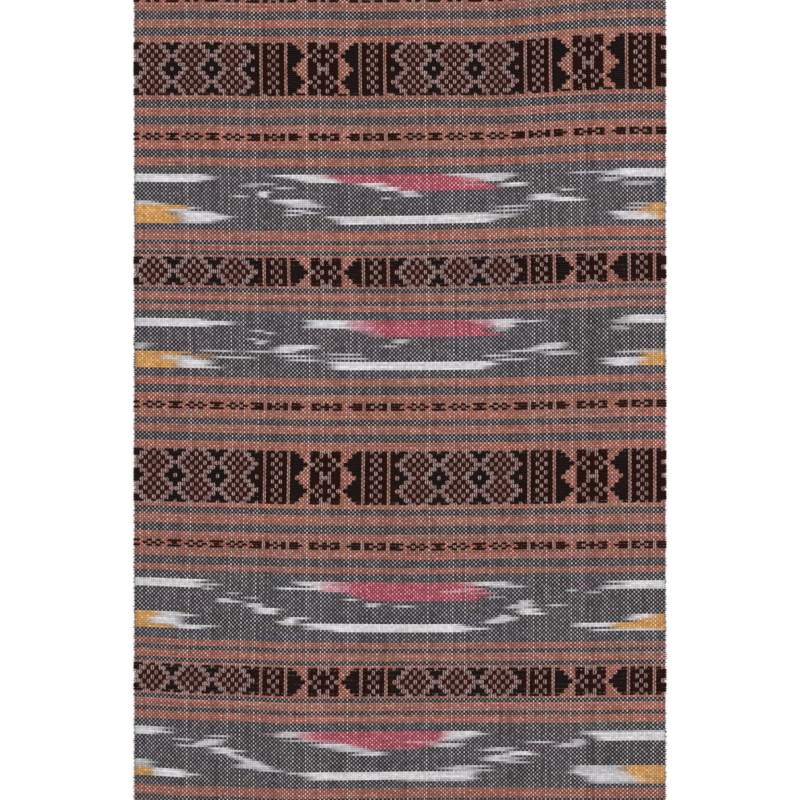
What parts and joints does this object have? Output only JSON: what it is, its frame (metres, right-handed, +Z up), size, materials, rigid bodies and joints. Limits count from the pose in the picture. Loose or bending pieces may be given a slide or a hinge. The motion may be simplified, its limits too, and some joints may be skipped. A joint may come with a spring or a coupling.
{
  "type": "ikat fabric",
  "caption": "Cut length of plain-woven ikat cloth with rust and black stripes and raised pattern bands, lying flat in its soft folds.",
  "frame": {"origin": "middle of the cloth's outline, at the surface it lies on", "axes": "+X along the weft to the right cut side, +Y along the warp to the far cut edge, +Z up from the surface"},
  "size_m": [0.128, 0.2, 0.0039],
  "materials": {
    "cloth": "matt handwoven cotton, pale warp, rust and black weft with ikat-dyed stripes"
  },
  "bodies": {
    "root": {"cloth": "cloth"}
  },
  "joints": []
}
